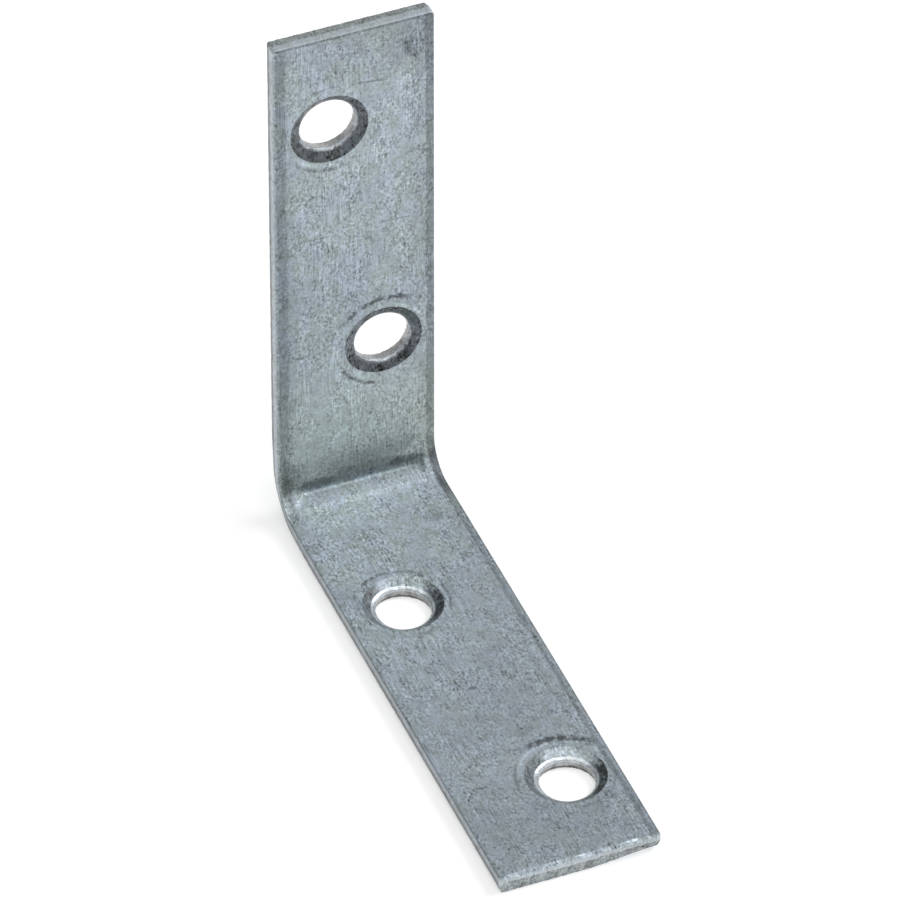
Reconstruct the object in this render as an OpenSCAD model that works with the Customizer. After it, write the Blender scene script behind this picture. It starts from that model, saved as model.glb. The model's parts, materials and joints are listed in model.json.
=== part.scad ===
// Corner brace bracket: one flat steel strip, blanked, countersunk from the inside and bent square.
// The upright leg stands on the Z axis and the foot leg lies along the X axis. The width runs along Y.
// The origin is the heel, where the two outer faces would meet in a sharp corner at mid width.

/* [Strip] */
// Width of the strip
strip_w = 14; // [13:0.2:24]
// Thickness of the strip
strip_t = 1.6; // [1.4:0.1:2.4]

/* [Legs] */
// Height of the upright leg, measured over the heel
upright_l = 49.6; // [46:0.2:80]
// Length of the foot leg, measured over the heel
foot_l = 50.4; // [46:0.2:80]

/* [Bend] */
// Radius inside the bend
bend_in_r = 2.7; // [2:0.1:4]
// How much larger the outer arc is than a parallel one, where the steel stretches
heel_slack = 0.5; // [0:0.1:1]

/* [Corner crease] */
// Depth of the crease below the inner arc of the bend
crease_depth = 0.7; // [0.3:0.05:0.8]
// Place of the crease round the bend, in degrees from the upright leg
crease_turn = 41.5; // [36:0.5:54]
// Where its upper flank starts, in degrees from the upright leg
crease_from = 27; // [12:1:30]
// Where its lower flank ends, in degrees from the upright leg
crease_to = 69; // [60:1:78]
// How far the bottom of the crease stops short of each side
crease_margin = 1.9; // [1.6:0.1:4]
// Angle of the crease's slanted ends
crease_end = 40; // [20:5:50]

/* [Screw holes] */
// Diameter of the screw bore
bore_d = 4.8; // [4:0.1:5.6]
// Diameter of the countersink at the inner face
sink_d = 6.7; // [6:0.1:7.6]
// Depth of the countersink
sink_depth = 0.7; // [0.4:0.05:0.8]
// From a leg's end to the middle of its outer hole
hole_end = 9.5; // [6:0.5:12]
// Between the two holes of a leg, along the leg
hole_pitch = 24; // [16:0.5:26]
// From the nearer side of the strip to the middle of a row of holes, before the shift
hole_edge = 4.7; // [4.4:0.1:6]
// How far the blank sat off centre when the holes were punched, towards +Y
hole_shift = 0.25; // [0:0.05:0.3]
// How far the shallow dish round a countersink reaches past it
dish_rim = 0.75; // [0.5:0.05:0.75]
// Depth of that dish, left by the shoulder of the punch
dish_depth = 0.05; // [0.02:0.01:0.1]

/* [Sheared edges] */
// Radius rolled onto the edges of the inner faces
edge_roll = 0.3; // [0.1:0.05:0.4]
// Depth of the torn zone of a sheared edge, up from the outer face
torn_depth = 0.8; // [0.4:0.05:1]
// How far the torn zone draws in at the outer face
torn_in = 0.16; // [0.05:0.01:0.25]
// Depth of the torn zone at the back of each bore
burst_depth = 0.4; // [0.1:0.05:0.45]
// How far that zone widens the bore's radius at the outer face
burst_out = 0.15; // [0.05:0.01:0.25]
// Corner radius of both ends on the +Y side
corner_r = 0.7; // [0.4:0.1:2]
// Corner radius of both ends on the -Y side
sharp_corner_r = 0.3; // [0.1:0.1:2]

/* [Hidden] */
$fn = 96;

// How far a cutter reaches past the surface that it cuts
over = 1;
half_w = strip_w / 2;
bend_out_r = bend_in_r + strip_t + heel_slack;
// Centre of the bend's inner arc, from each outer face
bend_c = strip_t + bend_in_r;
crease_l = strip_w - 2 * crease_margin;
// Places of the two rows of holes across the width
low_row = hole_shift - (half_w - hole_edge);
high_row = hole_shift + (half_w - hole_edge);
dish_d = sink_d + 2 * dish_rim;

// A block with its first corner rounded, for the outer and the inner outline of the bend
module round_block(w, h, r) {
    difference() {
        square([w, h]);
        difference() {
            square(r);
            translate([r, r]) circle(r);
        }
    }
}

// Side view of the bent strip
module side_outline() {
    difference() {
        round_block(foot_l, upright_l, bend_out_r);
        translate([strip_t, strip_t]) round_block(foot_l, upright_l, bend_in_r);
    }
}

// The bent strip with every edge still sharp
module bent_blank() {
    rotate([90, 0, 0]) linear_extrude(strip_w, center = true) side_outline();
}

// Places its children, made for the upright leg, on the foot leg
module on_foot() {
    mirror([1, 0, -1]) children();
}

// Section of what a rounded corner leaves over, for a corner at the origin with its waste past +X and +Y
module corner_waste(r) {
    difference() {
        translate([-r, -r]) square(r + over);
        translate([-r, -r]) circle(r);
    }
}

// Section of what the torn zone leaves over: x is the depth from the outer face, y is past the edge
module torn_waste() {
    slope = torn_in / torn_depth;
    polygon([[torn_depth, 0], [torn_depth, over], [-over, over], [-over, -slope * (torn_depth + over)]]);
}

// Sweeps a section, drawn with x as its radius, a quarter turn about Y on the heel's side
module heel_sweep() {
    rotate([-90, 0, 0]) rotate(90) rotate_extrude(angle = 90) children();
}

// Waste of the torn zone along the +Y side: one leg, and the bend
module leg_torn(leg_l) {
    translate([0, half_w, bend_out_r]) linear_extrude(leg_l + over - bend_out_r) torn_waste();
}

module bend_torn() {
    translate([bend_out_r, 0, bend_out_r]) heel_sweep()
        translate([bend_out_r, half_w]) mirror([1, 0]) torn_waste();
}

// Waste of the rolled edge along the +Y side: one leg, and the bend
module leg_roll(leg_l) {
    translate([strip_t, half_w, bend_c]) linear_extrude(leg_l + over - bend_c) corner_waste(edge_roll);
}

module bend_roll() {
    translate([bend_c, 0, bend_c]) heel_sweep()
        translate([bend_in_r, half_w]) mirror([1, 0]) corner_waste(edge_roll);
}

// Everything that shearing takes off the +Y side
module side_waste() {
    leg_torn(upright_l);
    on_foot() leg_torn(foot_l);
    bend_torn();
    leg_roll(upright_l);
    on_foot() leg_roll(foot_l);
    bend_roll();
}

// The waste at the corner of a leg's end on the +Y side
module end_corner(leg_l, r) {
    translate([-over, half_w, leg_l]) rotate([90, 0, 90])
        linear_extrude(strip_t + 2 * over) corner_waste(r);
}

// Everything that shearing takes off the end of a leg
module end_waste(leg_l) {
    translate([0, 0, leg_l]) rotate([90, 0, 0]) linear_extrude(strip_w + 2 * over, center = true) {
        torn_waste();
        translate([strip_t, 0]) corner_waste(edge_roll);
    }
    end_corner(leg_l, corner_r);
    mirror([0, 1, 0]) end_corner(leg_l, sharp_corner_r);
}

// One screw hole, bored along X: the burst at the back, the bore, the countersink and the dish round it
module screw_hole() {
    burst_d = bore_d + 2 * burst_out;
    sink_at = strip_t - sink_depth;
    rotate([0, 90, 0]) {
        translate([0, 0, -over]) cylinder(h = over, d = burst_d);
        cylinder(h = burst_depth, d1 = burst_d, d2 = bore_d);
        translate([0, 0, burst_depth]) cylinder(h = sink_at - burst_depth, d = bore_d);
        translate([0, 0, sink_at]) cylinder(h = sink_depth, d1 = bore_d, d2 = sink_d);
        translate([0, 0, strip_t - dish_depth])
            cylinder(h = dish_depth, d1 = dish_d - 2 * dish_depth, d2 = dish_d);
        translate([0, 0, strip_t]) cylinder(h = over, d = dish_d);
    }
}

// The two holes of a leg, each row given by its place across the width
module leg_holes(leg_l, outer_row, inner_row) {
    translate([0, outer_row, leg_l - hole_end]) screw_hole();
    translate([0, inner_row, leg_l - hole_end - hole_pitch]) screw_hole();
}

// A point round the bend in side view, at a radius from the bend's centre, in degrees from the upright leg
function bend_point(r, turn) = [bend_c - r * cos(turn), bend_c - r * sin(turn)];

// The print of the bending punch's nose in the inside corner
module crease() {
    bottom = bend_point(bend_in_r + crease_depth, crease_turn);
    nose_h = bend_in_r + crease_depth;
    nose_half = crease_l / 2 + nose_h * tan(crease_end);
    intersection() {
        rotate([90, 0, 0]) linear_extrude(strip_w, center = true)
            polygon([bend_point(bend_in_r, crease_from), bottom, bend_point(bend_in_r, crease_to),
                     [bend_c, bend_c]]);
        translate([bottom.x, 0, bottom.y]) rotate([0, -crease_turn, 0])
            linear_extrude(2 * bend_c, center = true)
                polygon([[0, -crease_l / 2], [0, crease_l / 2], [nose_h, nose_half], [nose_h, -nose_half]]);
    }
}

module bracket() {
    color([0.6, 0.64, 0.67]) difference() {
        bent_blank();
        side_waste();
        mirror([0, 1, 0]) side_waste();
        end_waste(upright_l);
        on_foot() end_waste(foot_l);
        leg_holes(upright_l, low_row, high_row);
        on_foot() leg_holes(foot_l, high_row, low_row);
        crease();
    }
}

bracket();
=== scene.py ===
"""A galvanised corner brace bracket and the studio it is shown in.

The strip is made the way the real one is: blanked flat with its four screw holes, sheared, dished by the punch,
and then bent square. While it is flat, x runs along the strip from the middle of the bend, towards the upright
leg's end, y runs across it and z is the depth up from the outer face. The blank is in millimetres, and the
finished piece is in metres like the frame.
"""

import json
import logging
import math
from collections.abc import Sequence
from dataclasses import dataclass, field
from enum import Enum

import bmesh
import bpy
from mathutils import Matrix, Vector, noise


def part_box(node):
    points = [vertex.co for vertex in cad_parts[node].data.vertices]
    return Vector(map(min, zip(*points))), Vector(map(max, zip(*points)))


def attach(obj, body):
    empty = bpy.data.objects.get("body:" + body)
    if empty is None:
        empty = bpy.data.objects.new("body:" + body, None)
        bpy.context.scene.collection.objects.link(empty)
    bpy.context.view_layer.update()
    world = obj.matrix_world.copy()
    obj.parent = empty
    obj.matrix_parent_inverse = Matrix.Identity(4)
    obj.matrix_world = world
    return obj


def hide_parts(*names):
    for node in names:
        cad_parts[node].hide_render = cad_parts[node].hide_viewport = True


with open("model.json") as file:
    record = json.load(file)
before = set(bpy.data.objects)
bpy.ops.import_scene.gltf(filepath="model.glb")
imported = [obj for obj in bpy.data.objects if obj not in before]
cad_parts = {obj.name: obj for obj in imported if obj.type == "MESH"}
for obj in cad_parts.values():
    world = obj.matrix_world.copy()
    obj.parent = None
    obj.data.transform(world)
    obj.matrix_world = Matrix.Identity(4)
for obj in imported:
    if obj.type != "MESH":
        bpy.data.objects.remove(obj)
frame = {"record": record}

log = logging.getLogger("bracket")

MM = 0.001
NODE = "bracket"
Point = tuple[float, float]
Shade = tuple[float, float, float]


class Zone(Enum):
    """The finishes of the strip's surface, numbered as the piece's material slots."""

    FACE = 0
    BURNISHED = 1
    TORN = 2
    SINK = 3
    LIP = 4
    BORE = 5


def ease(value: float, low: float, high: float) -> float:
    """Goes smoothly from 0 where value is low to 1 where it is high.

    Args:
        value: The number to look at.
        low: Where the result is 0.
        high: Where the result is 1. It may be below low.

    Returns:
        A share from 0 to 1, level at both ends.
    """
    share = min(1.0, max(0.0, (value - low) / (high - low)))
    return share * share * (3.0 - 2.0 * share)


def between(start: float, end: float, share: float) -> float:
    """The number at a share of the way from start to end."""
    return start + (end - start) * share


def spread(start: float, end: float, step: float) -> list[float]:
    """Evenly spaced places from start to end, both included.

    Args:
        start: The first place.
        end: The last place.
        step: The widest space allowed between two places.

    Returns:
        The places in order.
    """
    count = max(1, math.ceil(abs(end - start) / step))
    return [between(start, end, i / count) for i in range(count + 1)]


def filleted(corners: Sequence[tuple[float, float, float]], steps: int) -> list[Point]:
    """Rounds the corners of a section.

    Args:
        corners: The section's corners as (across, depth, radius). A radius of 0 leaves the corner sharp.
        steps: How many edges each rounded corner gets.

    Returns:
        The section's points. Sections with radii in the same places have as many points.
    """
    points: list[Point] = []
    for i, (across, depth, radius) in enumerate(corners):
        here = Vector((across, depth))
        if not radius:
            points.append((across, depth))
            continue
        to_last = Vector(corners[i - 1][:2]) - here
        to_next = Vector(corners[i + 1][:2]) - here
        reach = radius / math.tan(to_last.angle(to_next) / 2.0)
        start = here + to_last.normalized() * min(reach, 0.48 * to_last.length)
        end = here + to_next.normalized() * min(reach, 0.48 * to_next.length)
        for step in range(steps + 1):
            share = step / steps
            point = start.lerp(here, share).lerp(here.lerp(end, share), share)
            points.append((point.x, point.y))
    return points


@dataclass(frozen=True)
class Strip:
    """The strip's overall sizes, in millimetres."""

    width: float
    upright: float
    foot: float
    thickness: float = 1.6

    @property
    def half(self) -> float:
        """Half the width."""
        return self.width / 2.0


@dataclass(frozen=True)
class Crease:
    """The print of the bending punch's nose in the inside corner, in degrees from the upright leg."""

    depth: float = 0.7
    turn: float = 41.5
    start: float = 27.0
    end: float = 69.0
    left_tip: tuple[float, float] = (4.55, 5.95)
    right_tip: tuple[float, float] = (5.2, 5.75)

    def reach(self, arc: float, turn: float, y: float) -> float:
        """How far from the bend's centre the surface lies.

        Args:
            arc: Radius of the bend's inner arc.
            turn: Degrees round the bend, from the upright leg.
            y: Place across the strip.

        Returns:
            The arc's radius, or more inside the crease.
        """
        if not self.start < turn < self.end:
            return arc
        bottom = arc + self.depth
        other = self.start if turn < self.turn else self.end
        whole = math.sin(math.radians(abs(self.turn - other)))
        near_arc = math.sin(math.radians(abs(turn - other)))
        near_bottom = math.sin(math.radians(abs(self.turn - turn)))
        flank = arc * bottom * whole / (arc * near_arc + bottom * near_bottom)
        tip = self.right_tip if y > 0.0 else self.left_tip
        limit = bottom - self.depth * min(1.0, max(0.0, (abs(y) - tip[0]) / (tip[1] - tip[0])))
        return max(arc, min(flank, limit))


@dataclass(frozen=True)
class Bend:
    """The square bend between the legs, which turns the flat blank into the L."""

    strip: Strip
    inner_radius: float = 2.7
    outer_radius: float = 4.8
    rows: int = 64
    heel_narrowing: float = 0.17
    crease: Crease = field(default_factory=Crease)

    @property
    def inner_centre(self) -> float:
        """Distance of the inner arc's centre from both outer faces."""
        return self.strip.thickness + self.inner_radius

    @property
    def lead(self) -> float:
        """Straight stretch on the inside before its arc starts."""
        return self.outer_radius - self.inner_centre

    @property
    def half_length(self) -> float:
        """Half of the length of strip that the bend takes up."""
        inner = self.inner_radius * math.pi / 2.0 + 2.0 * self.lead
        outer = self.outer_radius * math.pi / 2.0
        return (inner + outer) / 4.0

    def flat_place(self, along_leg: float, upright: bool) -> float:
        """Turns a distance along a bent leg, from the heel, into a place along the flat blank."""
        place = along_leg - self.outer_radius + self.half_length
        return place if upright else -place

    def _inner(self, share: float, y: float) -> Point:
        """A point of the inner surface, a share of the way round from the upright leg."""
        arc_length = self.inner_radius * math.pi / 2.0
        along = share * (arc_length + 2.0 * self.lead) - self.lead
        turn = math.degrees(along / self.inner_radius)
        if turn <= 0.0:
            return self.strip.thickness, self.inner_centre - along
        if turn >= 90.0:
            return self.inner_centre + along - arc_length, self.strip.thickness
        reach = self.crease.reach(self.inner_radius, turn, y)
        return (self.inner_centre - reach * math.cos(math.radians(turn)),
                self.inner_centre - reach * math.sin(math.radians(turn)))

    def place(self, flat: Vector) -> Vector:
        """Moves a point of the flat blank to its place on the bent bracket.

        Args:
            flat: The point on the blank: along the strip, across it, and up from the outer face.

        Returns:
            The point in the bracket's own frame, still in millimetres.
        """
        along, y, depth = flat
        outward = 1.0 - depth / self.strip.thickness
        heel = ease(abs(along), 2.2 * self.half_length, 0.0)
        y *= 1.0 - self.heel_narrowing / self.strip.half * heel * outward
        if along >= self.half_length:
            return Vector((depth, y, self.outer_radius + along - self.half_length))
        if along <= -self.half_length:
            return Vector((self.outer_radius - along - self.half_length, y, depth))
        share = (self.half_length - along) / (2.0 * self.half_length)
        turn = share * math.pi / 2.0
        outer = (self.outer_radius * (1.0 - math.cos(turn)), self.outer_radius * (1.0 - math.sin(turn)))
        inner = self._inner(share, y)
        return Vector((between(inner[0], outer[0], outward), y, between(inner[1], outer[1], outward)))


@dataclass(frozen=True)
class ScrewHole:
    """One countersunk screw hole, punched from the inner face."""

    along: float
    y: float
    radius: float
    dish_lean: float
    dish_turn: float
    sink_radius: float = 3.35
    sink_depth: float = 0.7
    sink_shift: Point = (0.0, 0.0)
    press: float = 0.0
    rim_radius: float = 3.62
    lip_round: float = 0.3
    lip_below: float = 0.13
    lip_above: float = 0.16
    burst_depth: float = 0.4
    burst_out: float = 0.15
    dish_radius: float = 4.1
    dish_step: float = 0.22
    dish_depth: float = 0.05

    def section(self, thickness: float) -> list[Point]:
        """The hole's wall, from the inner face to the outer one.

        Args:
            thickness: Thickness of the strip.

        Returns:
            Points as (radius, depth).
        """
        sink_floor = thickness - self.sink_depth
        slope = (self.sink_radius - self.radius) / self.sink_depth
        cone = [(self.radius + slope * rise, sink_floor + rise, 0.0) for rise in (0.54, 0.42, 0.3, 0.2)]
        burst_radius = self.radius + self.burst_out
        bore = [(self.radius, depth, 0.0) for depth in (0.6, 0.5)]
        burst = [(self.radius + self.burst_out * share, self.burst_depth * (1.0 - share), 0.0)
                 for share in (0.3, 0.65)]
        corners = [(self.rim_radius, thickness, 0.0), (self.sink_radius, thickness, 0.07), *cone,
                   (self.radius, sink_floor, self.lip_round), *bore, (self.radius, self.burst_depth, 0.0),
                   *burst, (burst_radius, 0.0, 0.03), (self.rim_radius, 0.0, 0.0)]
        return filleted(corners, 5)

    def zones(self, thickness: float) -> list[Zone]:
        """The finish of each ring of faces between two points of the section."""
        points = self.section(thickness)
        middles = [(upper + lower) / 2.0 for (_, upper), (_, lower) in zip(points, points[1:])]
        sink_floor = thickness - self.sink_depth
        floors = ((thickness - 1e-6, Zone.FACE), (sink_floor + self.lip_above, Zone.SINK),
                  (sink_floor - self.lip_below, Zone.LIP), (0.0, Zone.BORE), (-thickness, Zone.FACE))
        return [next(zone for floor, zone in floors if depth > floor) for depth in middles]

    def distance(self, x: float, y: float) -> float:
        """Distance of a point of the blank from the hole's axis."""
        return math.hypot(x - self.along, y - self.y)

    def dish(self, x: float, y: float) -> float:
        """Depth of the dish that the punch's shoulder pressed round the countersink.

        Args:
            x: Place along the blank.
            y: Place across the blank.

        Returns:
            How far the surface lies below the inner face.
        """
        distance = self.distance(x, y)
        if distance > self.dish_radius:
            return 0.0
        turn = math.atan2(y - self.y, x - self.along) - math.radians(self.dish_turn)
        lean = 1.0 + self.dish_lean * math.cos(turn)
        return self.dish_depth * lean * ease(distance, self.dish_radius, self.dish_radius - self.dish_step)


@dataclass(frozen=True)
class Cut:
    """How one sheared edge came out: its rolled brow at the inner face and its torn zone at the outer one."""

    roll_width: float
    roll_slope: float
    brow_radius: float
    torn_depth: float
    torn_rough: float

    def roll(self, inset: float, width: float) -> float:
        """How far the inner face has sunk towards the edge.

        Args:
            inset: Distance from the edge.
            width: Where the sinking starts.

        Returns:
            The drop, which grows evenly after a short rounded start.
        """
        into = width - inset
        blend = 0.16
        if into <= -blend / 2.0:
            return 0.0
        if into < blend / 2.0:
            return self.roll_slope * (into + blend / 2.0) ** 2 / (2.0 * blend)
        return self.roll_slope * into


@dataclass(frozen=True)
class ShearedEdge:
    """The cut edge of the strip: rolled over, burnished by the blade, and torn towards the outer face."""

    thickness: float
    side: Cut = Cut(roll_width=0.85, roll_slope=0.12, brow_radius=0.17, torn_depth=0.5, torn_rough=0.02)
    top: Cut = Cut(roll_width=0.4, roll_slope=0.12, brow_radius=0.1, torn_depth=0.85, torn_rough=0.05)
    foot: Cut = Cut(roll_width=0.44, roll_slope=0.35, brow_radius=0.14, torn_depth=1.15, torn_rough=0.05)
    sheet_inset: float = 0.3
    torn_in: float = 0.16
    line_wander: float = 0.12
    worn_height: float = 0.6
    worn_length: float = 7.0
    worn_width: float = 1.2

    def section(self, cut: Cut) -> list[Point]:
        """The edge from the inner sheet to the outer one, as (inset, depth)."""
        top = self.thickness
        start = top - cut.roll(self.sheet_inset, cut.roll_width)
        brow = top - cut.roll(0.0, cut.roll_width)
        burnished = [(0.0, between(cut.torn_depth, brow, share), 0.0) for share in (0.6, 0.4, 0.2)]
        torn = [(self.torn_in * share, cut.torn_depth * (1.0 - share), 0.0) for share in (0.08, 0.3, 0.55, 0.8)]
        corners = [(self.sheet_inset, start, 0.0), (0.0, brow, cut.brow_radius), *burnished,
                   (0.0, cut.torn_depth, 0.0), *torn, (self.torn_in, 0.0, 0.05), (self.sheet_inset, 0.0, 0.0)]
        return filleted(corners, 5)

    def zones(self) -> list[Zone]:
        """The finish of each ring of faces between two points of the section, the same for every cut."""
        points = self.section(self.side)
        middles = [(points[i][0] + points[i + 1][0], points[i + 1][1]) for i in range(len(points) - 1)]
        zones = []
        for inset, depth in middles:
            if depth <= 0.0 and inset > 2.0 * self.torn_in:
                zones.append(Zone.FACE)
            elif depth < self.side.torn_depth:
                zones.append(Zone.TORN)
            elif depth > self.thickness - 0.2 and inset > 0.2:
                zones.append(Zone.FACE)
            else:
                zones.append(Zone.BURNISHED)
        return zones

    def point(self, sections: tuple[Sequence[Point], Sequence[Point]], ring: int, end: Cut, share: float,
              at: Vector) -> Point:
        """A point of the edge with the unevenness of a real shear cut.

        Args:
            sections: The sections of the long sides and of this end.
            ring: Which point of the section.
            end: The cut at this end of the strip.
            share: How much of the end's cut there is here, from 0 along a side to 1 along the end.
            at: Where the point is on the blank, for the noise.

        Returns:
            The point as (inset, depth).
        """
        inset, depth = (between(a, b, share) for a, b in zip(sections[0][ring], sections[1][ring]))
        torn_depth = between(self.side.torn_depth, end.torn_depth, share)
        brow = self.thickness - 0.2
        if 0.0 < depth < brow:
            line = ease(depth, 0.0, torn_depth) * ease(depth, brow, torn_depth)
            depth += self.line_wander * line * noise.noise(Vector((at.x * 0.55, at.y * 0.55, 3.0)))
            depth += 0.4 * self.line_wander * line * noise.noise(Vector((at.x * 2.1, at.y * 2.1, 9.0)))
        if depth < torn_depth and inset < self.sheet_inset:
            rough = noise.noise(Vector((at.x * 2.6, at.y * 2.6, depth * 3.5)))
            rough += 0.6 * noise.noise(Vector((at.x * 6.0, at.y * 6.0, depth * 7.0)))
            rough *= between(self.side.torn_rough, end.torn_rough, share)
            inset = max(0.0, inset + rough * min(1.0, 3.0 - 3.0 * ease(depth, 0.0, torn_depth)))
        return inset, depth

    def worn(self, place: Vector, corner: Point) -> float:
        """How much the outer side's edge is worn up near the foot's right corner.

        Args:
            place: A point of the blank.
            corner: That corner's place along the blank and across it.

        Returns:
            How far the point lies above its unworn depth.
        """
        along = ease(corner[1] - place.y, self.worn_length, 0.0)
        into = 1.0 - min(1.0, max(0.0, place.x - corner[0]) / self.worn_width)
        low = 1.0 - min(1.0, place.z / self.foot.torn_depth)
        return self.worn_height * along * into * low


class Blank:
    """The flat blank of the bracket: one sheet pierced by the screw holes and given its thickness."""

    def __init__(self, strip: Strip, bend: Bend, holes: Sequence[ScrewHole], edge: ShearedEdge) -> None:
        """Keeps the parts that shape the blank and works out its rows and columns.

        Args:
            strip: The strip's overall sizes.
            bend: The bend, which says how long the flat legs are.
            holes: The screw holes.
            edge: The sheared edge.
        """
        self.strip = strip
        self.bend = bend
        self.holes = sorted(holes, key=lambda hole: hole.along)
        self.edge = edge
        self.corner_radii = {(1, 1): 0.45, (1, -1): 0.35, (-1, 1): 0.55, (-1, -1): 0.35}
        self.corner_steps = (0.0, 0.017, 0.033, 0.05)
        self.step = 0.29
        self.cell_half = 6.5
        self.dish_rings = (3.68, 3.8, 3.9, 4.0, 4.1)
        self.plain_rings = 9
        inset = edge.sheet_inset
        self.top_end = bend.flat_place(strip.upright, True) - inset
        self.low_end = bend.flat_place(strip.foot, False) + inset
        self.side = strip.half - inset
        self.columns = self._columns()

    def _columns(self) -> list[float]:
        """Places of the lines along the sheet, closer together near its sides."""
        left = [-self.side + step for step in (*self.corner_steps, 0.18, 0.3, 0.42, 0.55, 0.7)]
        right = [self.side - step for step in (0.7, 0.55, 0.4, 0.25, 0.14, *reversed(self.corner_steps))]
        return left + spread(left[-1], right[0], self.step)[1:-1] + right

    def _end_rows(self) -> list[float]:
        """Places of the fine rows at an end, measured in from the sheet's end."""
        return [*self.corner_steps, 0.14, 0.25, 0.4]

    def _bay(self, bm: bmesh.types.BMesh, rows: Sequence[float]) -> None:
        """Adds a plain stretch of the sheet.

        Args:
            bm: The mesh to add to.
            rows: Places of its cross lines along the blank.
        """
        made = bmesh.ops.create_grid(bm, x_segments=len(rows) - 1, y_segments=len(self.columns) - 1, size=1.0)
        for vert in made["verts"]:
            row = round((vert.co.x + 1.0) / 2.0 * (len(rows) - 1))
            column = round((vert.co.y + 1.0) / 2.0 * (len(self.columns) - 1))
            vert.co = (rows[row], self.columns[column], self.strip.thickness)

    def _cell(self, bm: bmesh.types.BMesh, hole: ScrewHole, rows: Sequence[float]) -> None:
        """Adds the stretch of the sheet round a screw hole, as rings from the hole's rim out to a rectangle.

        Args:
            bm: The mesh to add to.
            hole: The hole in this stretch.
            rows: Places of the cross lines that the rectangle's long sides meet.
        """
        columns = self.columns
        rim = [(x, columns[0]) for x in rows[:-1]] + [(rows[-1], y) for y in columns[:-1]]
        rim += [(x, columns[-1]) for x in reversed(rows[1:])] + [(rows[0], y) for y in reversed(columns[1:])]
        centre = Vector((hole.along, hole.y))
        spokes = [Vector(point) - centre for point in rim]
        made = bmesh.ops.create_circle(bm, segments=len(rim), radius=hole.rim_radius, cap_ends=False)
        verts = list(made["verts"])
        edges = list({edge for vert in verts for edge in vert.link_edges})
        which = {}
        for vert, spoke in zip(verts, spokes):
            vert.co = (centre + spoke.normalized() * hole.rim_radius).to_3d() + Vector((0, 0, self.strip.thickness))
            which[vert.co.xy.to_tuple()] = spoke
        for ring in range(1, len(self.dish_rings) + self.plain_rings + 1):
            made = bmesh.ops.extrude_edge_only(bm, edges=edges)["geom"]
            edges = [item for item in made if isinstance(item, bmesh.types.BMEdge)]
            last, which = which, {}
            for vert in (item for item in made if isinstance(item, bmesh.types.BMVert)):
                spoke = last[vert.co.xy.to_tuple()]
                if ring <= len(self.dish_rings):
                    reach = self.dish_rings[ring - 1]
                else:
                    share = (ring - len(self.dish_rings)) / self.plain_rings
                    reach = between(self.dish_rings[-1], spoke.length, share)
                vert.co.xy = centre + spoke.normalized() * reach
                which[vert.co.xy.to_tuple()] = spoke

    def sheet(self, bm: bmesh.types.BMesh) -> None:
        """Lays the bays and the cells end to end, at the level of the inner face, and welds them."""
        end_rows = self._end_rows()
        at = self.low_end + end_rows[-1]
        self._bay(bm, [self.low_end + row for row in end_rows])
        stops = [(-self.bend.half_length, self.bend.half_length, None)]
        stops += [(hole.along - self.cell_half, hole.along + self.cell_half, hole) for hole in self.holes]
        for start, end, hole in sorted(stops, key=lambda stop: stop[0]):
            self._bay(bm, spread(at, start, self.step))
            if hole:
                self._cell(bm, hole, spread(start, end, self.step))
            else:
                self._bay(bm, spread(start, end, (end - start) / self.bend.rows))
            at = end
        self._bay(bm, spread(at, self.top_end - end_rows[-1], self.step))
        self._bay(bm, [self.top_end - row for row in reversed(end_rows)])
        bmesh.ops.remove_doubles(bm, verts=bm.verts, dist=0.002)

    def _hole_at(self, x: float, y: float) -> ScrewHole | None:
        """The hole whose wall passes through a point of the blank, if any."""
        for hole in self.holes:
            if hole.distance(x, y) < hole.rim_radius + 0.01:
                return hole
        return None

    def thicken(self, bm: bmesh.types.BMesh) -> None:
        """Extrudes the sheet down to the outer face and cuts its walls into rings."""
        made = bmesh.ops.extrude_face_region(bm, geom=bm.faces[:])["geom"]
        moved = [item for item in made if isinstance(item, bmesh.types.BMVert)]
        bmesh.ops.translate(bm, verts=moved, vec=(0.0, 0.0, -self.strip.thickness))
        upright = [edge for edge in bm.edges if abs(edge.verts[0].co.z - edge.verts[1].co.z) > 0.5]
        at_hole = [edge for edge in upright if self._hole_at(*edge.verts[0].co.xy)]
        at_side = list(set(upright) - set(at_hole))
        for edges, rings in ((at_hole, len(self.holes[0].zones(self.strip.thickness))),
                             (at_side, len(self.edge.zones()))):
            bmesh.ops.subdivide_edges(bm, edges=edges, cuts=rings - 1, use_grid_fill=True)

    def _outline(self, x: float, y: float) -> tuple[Vector, Vector]:
        """Rounds the sheet's corners.

        Args:
            x: Place along the square-cornered sheet.
            y: Place across it.

        Returns:
            The point's place on the real sheet, and the way straight out of the blank from there.
        """
        end = 1 if x > 0.0 else -1
        side = 1 if y > 0.0 else -1
        limit = self.top_end if end > 0 else self.low_end
        radius = self.corner_radii[end, side] - self.edge.sheet_inset
        centre = Vector((limit - end * radius, side * (self.side - radius)))
        u = (x - centre.x) * end
        v = (y - centre.y) * side
        if u > 1e-6 and v > 1e-6:
            turn = math.pi / 4.0 * (v / u if u >= v else 2.0 - u / v)
            out = Vector((end * math.cos(turn), side * math.sin(turn)))
            return centre + out * max(u, v), out
        at_end = abs(x - limit) < 1e-4
        return Vector((x, y)), Vector((end, 0.0)) if at_end else Vector((0.0, side))

    def _zone(self, face: bmesh.types.BMFace) -> Zone:
        """The finish of a face, from the ring of the wall that it lies in."""
        depths = [vert.co.z for vert in face.verts]
        if max(depths) - min(depths) < 1e-3:
            return Zone.FACE
        hole = self._hole_at(*face.verts[0].co.xy)
        zones = hole.zones(self.strip.thickness) if hole else self._edge_zones
        ring = int((1.0 - sum(depths) / len(depths) / self.strip.thickness) * len(zones))
        return zones[ring]

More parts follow.
